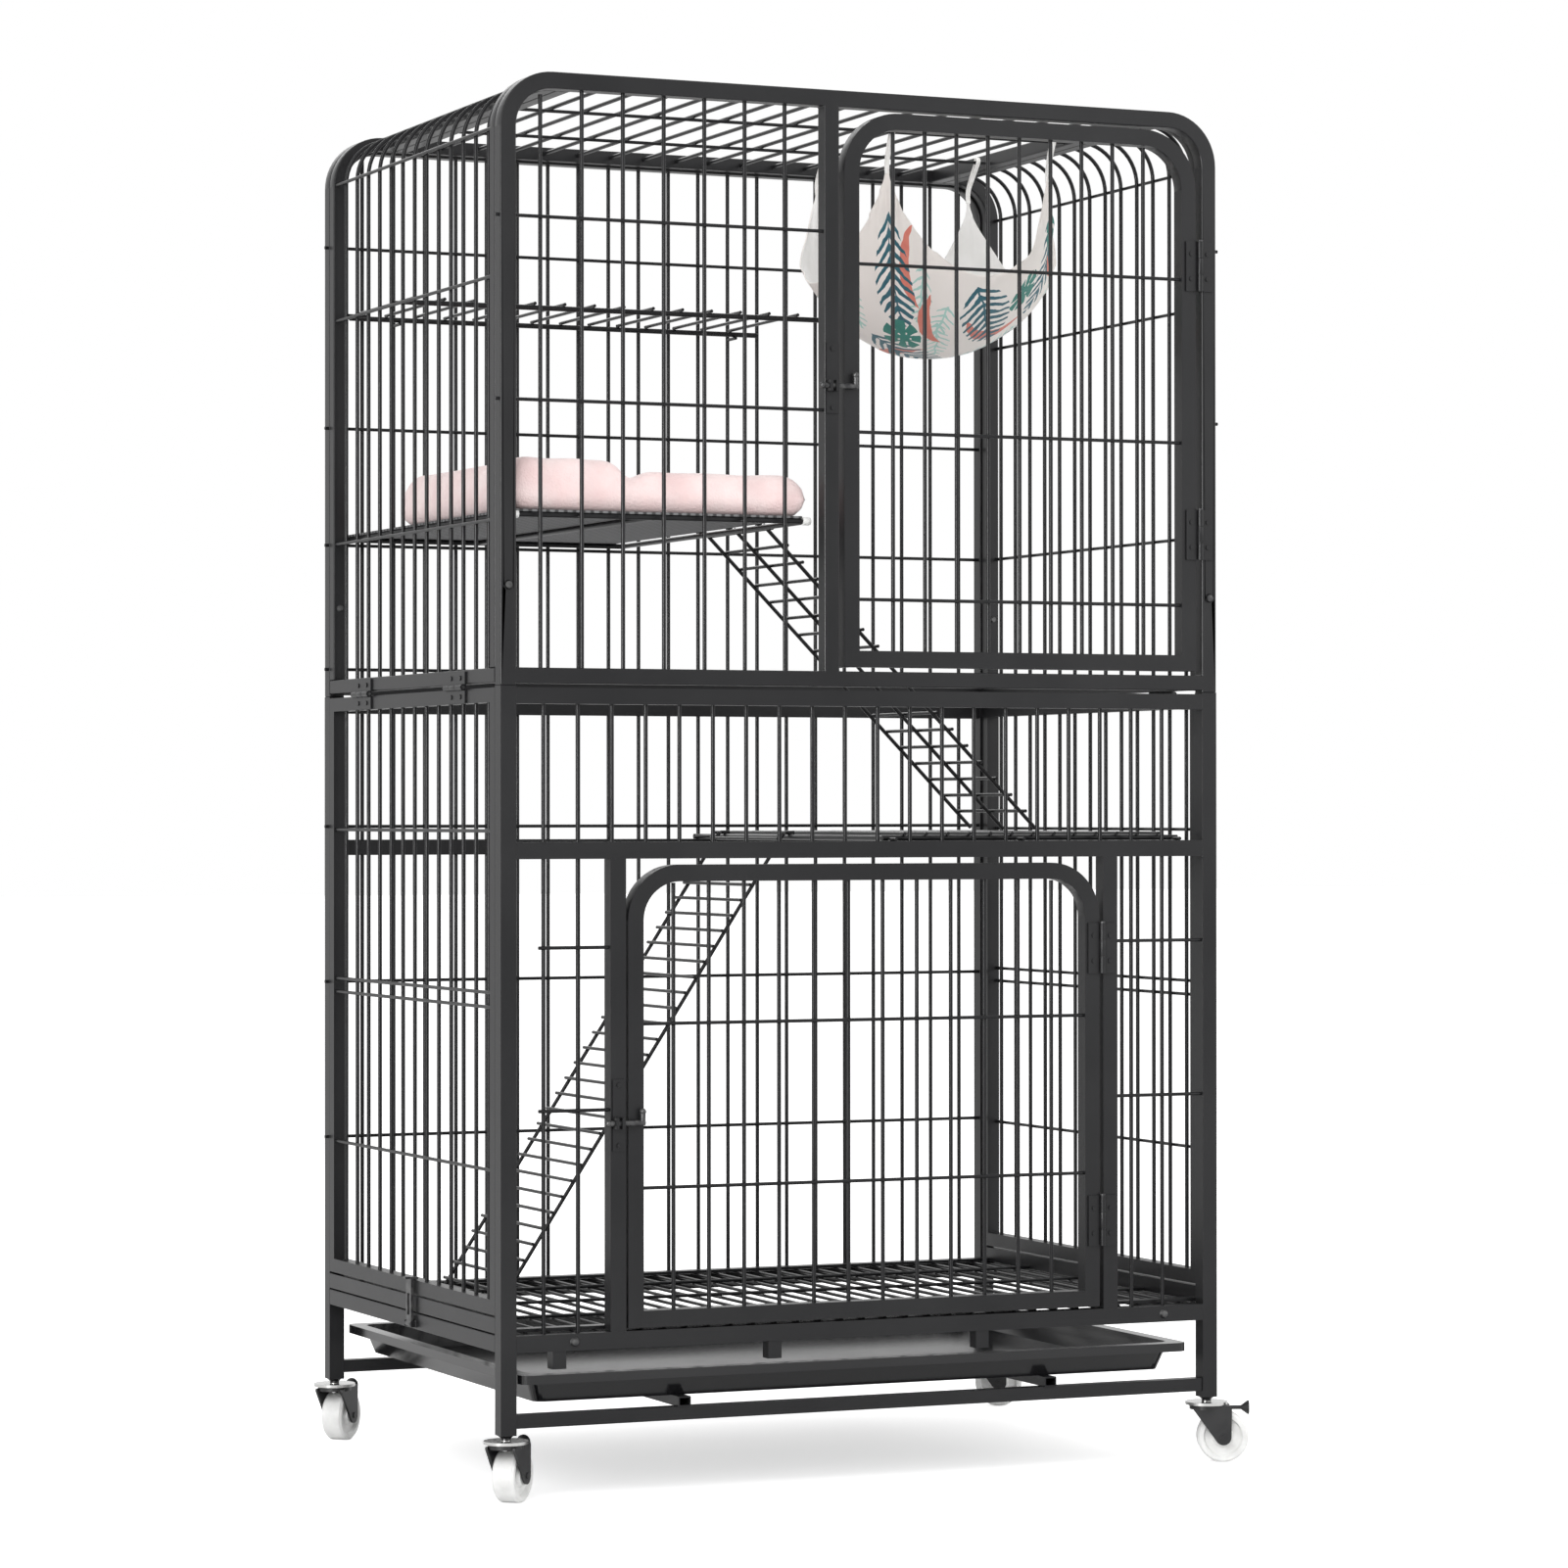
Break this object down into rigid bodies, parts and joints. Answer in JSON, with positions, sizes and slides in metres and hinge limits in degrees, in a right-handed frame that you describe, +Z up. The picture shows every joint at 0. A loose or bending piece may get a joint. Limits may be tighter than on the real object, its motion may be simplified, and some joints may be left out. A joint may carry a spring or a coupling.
{
  "type": "two-stage cat enclosure on casters",
  "caption": "Tall wheeled wire cage of square steel tube with doors, shelves, ladders, a hammock, a cushion and a pull-out tray.",
  "frame": {"origin": "middle of the whole outline at floor level, under the wheels", "axes": "+Z up, the doors face -Y, +X to the right seen from the front"},
  "size_m": [0.7642, 0.5336, 1.271],
  "materials": {
    "frame_paint": "satin",
    "wire_paint": "satin",
    "fittings": "satin",
    "caster_zinc": "gloss",
    "caster_black": "satin",
    "pedal_black": "satin",
    "wheel_white": "satin",
    "tray_black": "semi-gloss",
    "board_grey": "matte",
    "cushion_pink": "matte",
    "hammock_cloth": "matte"
  },
  "bodies": {
    "frame": {"front_posts": "frame_paint", "rear_posts": "frame_paint", "front_lower_frame": "frame_paint", "rear_lower_frame": "frame_paint", "base_side_rails": "frame_paint", "tray_runners": "frame_paint", "floor_grid": "wire_paint", "front_lower_grille": "wire_paint", "rear_lower_grille": "wire_paint", "front_hoop": "frame_paint", "rear_hoop": "frame_paint", "front_upper_grille": "wire_paint", "rear_upper_grille": "wire_paint", "side_roof_frame": "frame_paint", "side_roof_wires": "wire_paint", "door_hinge_leaves": "frame_paint", "panel_hinge_leaves": "frame_paint", "hinge_pins": "fittings", "frame_bolts": "fittings", "latch_plates": "frame_paint", "snap_springs": "fittings", "caster_stems": "caster_zinc", "wire_shelf": "wire_paint", "cushion_shelf_frame": "wire_paint", "cushion_shelf_board": "board_grey", "cushion": "cushion_pink", "second_floor": "wire_paint", "upper_ladder": "wire_paint", "lower_ladder": "wire_paint", "hammock": "hammock_cloth", "hammock_straps": "hammock_cloth"},
    "upper_door": {"upper_door_frame": "frame_paint", "upper_door_wires": "wire_paint"},
    "lower_door": {"lower_door_frame": "frame_paint", "lower_door_wires": "wire_paint"},
    "upper_bolt": {"upper_latch_bolt": "fittings"},
    "lower_bolt": {"lower_latch_bolt": "fittings"},
    "left_panel": {"left_panel_frame": "frame_paint", "left_panel_wires": "wire_paint"},
    "right_panel": {"right_panel_frame": "frame_paint", "right_panel_wires": "wire_paint"},
    "left_clip": {"left_clip": "fittings"},
    "right_clip": {"right_clip": "fittings"},
    "tray": {"tray": "tray_black"},
    "button_fl": {"snap_button_fl": "fittings"},
    "button_fr": {"snap_button_fr": "fittings"},
    "button_rl": {"snap_button_rl": "fittings"},
    "button_rr": {"snap_button_rr": "fittings"},
    "fork_fl": {"caster_fork_fl": "caster_black"},
    "wheel_fl": {"caster_wheel_fl": "wheel_white"},
    "pedal_fl": {"brake_pedal_fl": "pedal_black"},
    "fork_fr": {"caster_fork_fr": "caster_black"},
    "wheel_fr": {"caster_wheel_fr": "wheel_white"},
    "pedal_fr": {"brake_pedal_fr": "pedal_black"},
    "fork_rl": {"caster_fork_rl": "caster_black"},
    "wheel_rl": {"caster_wheel_rl": "wheel_white"},
    "pedal_rl": {"brake_pedal_rl": "pedal_black"},
    "fork_rr": {"caster_fork_rr": "caster_black"},
    "wheel_rr": {"caster_wheel_rr": "wheel_white"},
    "pedal_rr": {"brake_pedal_rr": "pedal_black"}
  },
  "joints": [
    {"name": "upper_door_hinge", "type": "hinge", "parent": "frame", "child": "upper_door", "pos_m": [0.33211, -0.25344, 1], "axis": [0, 0, 1], "range_deg": [0, 175]},
    {"name": "lower_door_hinge", "type": "hinge", "parent": "frame", "child": "lower_door", "pos_m": [0.22791, -0.25344, 0.35], "axis": [0, 0, 1], "range_deg": [0, 175]},
    {"name": "upper_latch_slide", "type": "slide", "parent": "frame", "child": "upper_bolt", "axis": [-1, 0, 0], "range_m": [0, 0.0155]},
    {"name": "lower_latch_slide", "type": "slide", "parent": "frame", "child": "lower_bolt", "axis": [-1, 0, 0], "range_m": [0, 0.0155]},
    {"name": "left_panel_hinge", "type": "hinge", "parent": "frame", "child": "left_panel", "pos_m": [-0.37249, -0.00554, 0.72525], "axis": [0, 1, 0], "range_deg": [0, 170]},
    {"name": "right_panel_hinge", "type": "hinge", "parent": "frame", "child": "right_panel", "pos_m": [0.35331, -0.00554, 0.72525], "axis": [0, -1, 0], "range_deg": [0, 170]},
    {"name": "left_clip_hinge", "type": "hinge", "parent": "frame", "child": "left_clip", "pos_m": [-0.37279, -0.01754, 0.139], "axis": [0, -1, 0], "range_deg": [0, 110]},
    {"name": "right_clip_hinge", "type": "hinge", "parent": "frame", "child": "right_clip", "pos_m": [0.35361, -0.01754, 0.139], "axis": [0, 1, 0], "range_deg": [0, 110]},
    {"name": "tray_slide", "type": "slide", "parent": "frame", "child": "tray", "axis": [0, -1, 0], "range_m": [0, 0.4]},
    {"name": "button_fl_press", "type": "slide", "parent": "frame", "child": "button_fl", "axis": [0, 1, 0], "range_m": [0, 0.0025], "stiffness_N_per_m": 900, "springref_m": -0.003},
    {"name": "button_fr_press", "type": "slide", "parent": "frame", "child": "button_fr", "axis": [0, 1, 0], "range_m": [0, 0.0025], "stiffness_N_per_m": 900, "springref_m": -0.003},
    {"name": "button_rl_press", "type": "slide", "parent": "frame", "child": "button_rl", "axis": [0, -1, 0], "range_m": [0, 0.0025], "stiffness_N_per_m": 900, "springref_m": -0.003},
    {"name": "button_rr_press", "type": "slide", "parent": "frame", "child": "button_rr", "axis": [0, -1, 0], "range_m": [0, 0.0025], "stiffness_N_per_m": 900, "springref_m": -0.003},
    {"name": "caster_fl_swivel", "type": "hinge", "parent": "frame", "child": "fork_fl", "pos_m": [-0.36209, -0.24304, 0.052], "axis": [0, 0, 1], "continuous": true},
    {"name": "wheel_fl_spin", "type": "hinge", "parent": "fork_fl", "child": "wheel_fl", "pos_m": [-0.35167, -0.23225, 0.024], "axis": [-0.7193, 0.6947, 0], "continuous": true},
    {"name": "brake_fl_press", "type": "hinge", "parent": "fork_fl", "child": "pedal_fl", "pos_m": [-0.3482, -0.22865, 0.0507], "axis": [-0.7193, 0.6947, 0], "range_deg": [0, 8]},
    {"name": "caster_fr_swivel", "type": "hinge", "parent": "frame", "child": "fork_fr", "pos_m": [0.34291, -0.24304, 0.052], "axis": [0, 0, 1], "continuous": true},
    {"name": "wheel_fr_spin", "type": "hinge", "parent": "fork_fr", "child": "wheel_fr", "pos_m": [0.35661, -0.24914, 0.024], "axis": [0.4067, 0.9135, 0], "continuous": true},
    {"name": "brake_fr_press", "type": "hinge", "parent": "fork_fr", "child": "pedal_fr", "pos_m": [0.36118, -0.25117, 0.0507], "axis": [0.4067, 0.9135, 0], "range_deg": [0, 8]},
    {"name": "caster_rl_swivel", "type": "hinge", "parent": "frame", "child": "fork_rl", "pos_m": [-0.36209, 0.23196, 0.052], "axis": [0, 0, 1], "continuous": true},
    {"name": "wheel_rl_spin", "type": "hinge", "parent": "fork_rl", "child": "wheel_rl", "pos_m": [-0.35167, 0.24275, 0.024], "axis": [-0.7193, 0.6947, 0], "continuous": true},
    {"name": "brake_rl_press", "type": "hinge", "parent": "fork_rl", "child": "pedal_rl", "pos_m": [-0.3482, 0.24635, 0.0507], "axis": [-0.7193, 0.6947, 0], "range_deg": [0, 8]},
    {"name": "caster_rr_swivel", "type": "hinge", "parent": "frame", "child": "fork_rr", "pos_m": [0.34291, 0.23196, 0.052], "axis": [0, 0, 1], "continuous": true},
    {"name": "wheel_rr_spin", "type": "hinge", "parent": "fork_rr", "child": "wheel_rr", "pos_m": [0.35661, 0.22586, 0.024], "axis": [0.4067, 0.9135, 0], "continuous": true},
    {"name": "brake_rr_press", "type": "hinge", "parent": "fork_rr", "child": "pedal_rr", "pos_m": [0.36118, 0.22382, 0.0507], "axis": [0.4067, 0.9135, 0], "range_deg": [0, 8]}
  ]
}
